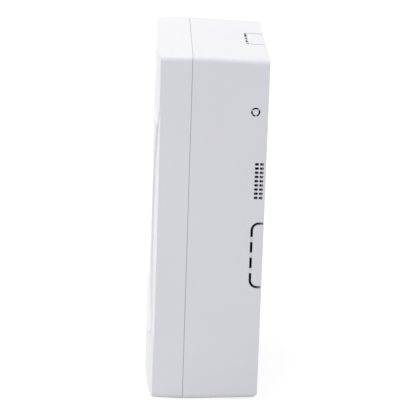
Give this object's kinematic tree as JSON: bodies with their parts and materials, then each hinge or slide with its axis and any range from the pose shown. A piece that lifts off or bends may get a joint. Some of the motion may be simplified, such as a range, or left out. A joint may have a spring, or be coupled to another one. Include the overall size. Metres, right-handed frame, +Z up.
{
  "type": "wireless zone expander",
  "caption": "White two-shell wall housing of an alarm system's wireless zone expander, with circuit board, radio, terminals and tamper switches inside.",
  "frame": {"origin": "centre of the four wall fixings, in the plane of the wall", "axes": "+Z up the height of the housing as it hangs on the wall; +Y into the wall, so the domed front faces -Y; +X along the width"},
  "size_m": [0.104, 0.0485, 0.15],
  "materials": {
    "housing_white": "satin",
    "board_green": "gloss",
    "terminal_green": "satin",
    "black_plastic": "matte",
    "button_plastic": "satin",
    "screw_steel": "zinc plated",
    "plated_metal": "tin plated",
    "pin_brass": "gold plated",
    "capacitor_can": "sleeved",
    "lamp_resin": "clear",
    "chip_ceramic": "matte"
  },
  "bodies": {
    "housing": {"address_display": "black_plastic", "address_switch": "black_plastic", "antenna_left": "pin_brass", "antenna_right": "pin_brass", "board_screws": "screw_steel", "bus_driver_chip": "black_plastic", "bus_terminal": "terminal_green", "bus_terminal_clamps": "plated_metal", "bus_terminal_screws": "screw_steel", "chip_capacitors": "chip_ceramic", "chip_resistors": "chip_ceramic", "cover_screw": "screw_steel", "cover_tamper_switch": "black_plastic", "front_cover": "housing_white", "main_board": "board_green", "main_crystal": "plated_metal", "memory_chip": "black_plastic", "microcontroller": "black_plastic", "output_terminal": "terminal_green", "output_terminal_clamps": "plated_metal", "output_terminal_screws": "screw_steel", "power_inductor": "black_plastic", "radio_board": "board_green", "radio_chip": "black_plastic", "radio_header": "black_plastic", "radio_header_pins": "pin_brass", "radio_shield": "plated_metal", "rear_base": "housing_white", "service_pins": "pin_brass", "service_socket": "black_plastic", "status_leds": "lamp_resin", "supply_capacitors": "capacitor_can", "voltage_regulator": "black_plastic", "wall_tamper_switch": "black_plastic"},
    "address_button": {"address_button": "button_plastic"},
    "cover_tamper_plunger": {"cover_tamper_plunger": "button_plastic"},
    "wall_tamper_plunger": {"wall_tamper_plunger": "button_plastic"}
  },
  "joints": [
    {"name": "address_press", "type": "slide", "parent": "housing", "child": "address_button", "axis": [0, 1, 0], "range_m": [0, 0.00025], "stiffness_N_per_m": 300},
    {"name": "cover_tamper_press", "type": "slide", "parent": "housing", "child": "cover_tamper_plunger", "axis": [0, 1, 0], "range_m": [0, 0.00025], "stiffness_N_per_m": 300, "springref_m": -0.0005},
    {"name": "wall_tamper_release", "type": "slide", "parent": "housing", "child": "wall_tamper_plunger", "axis": [0, 1, 0], "range_m": [0, 0.0014], "stiffness_N_per_m": 200, "springref_m": 0.0018}
  ]
}
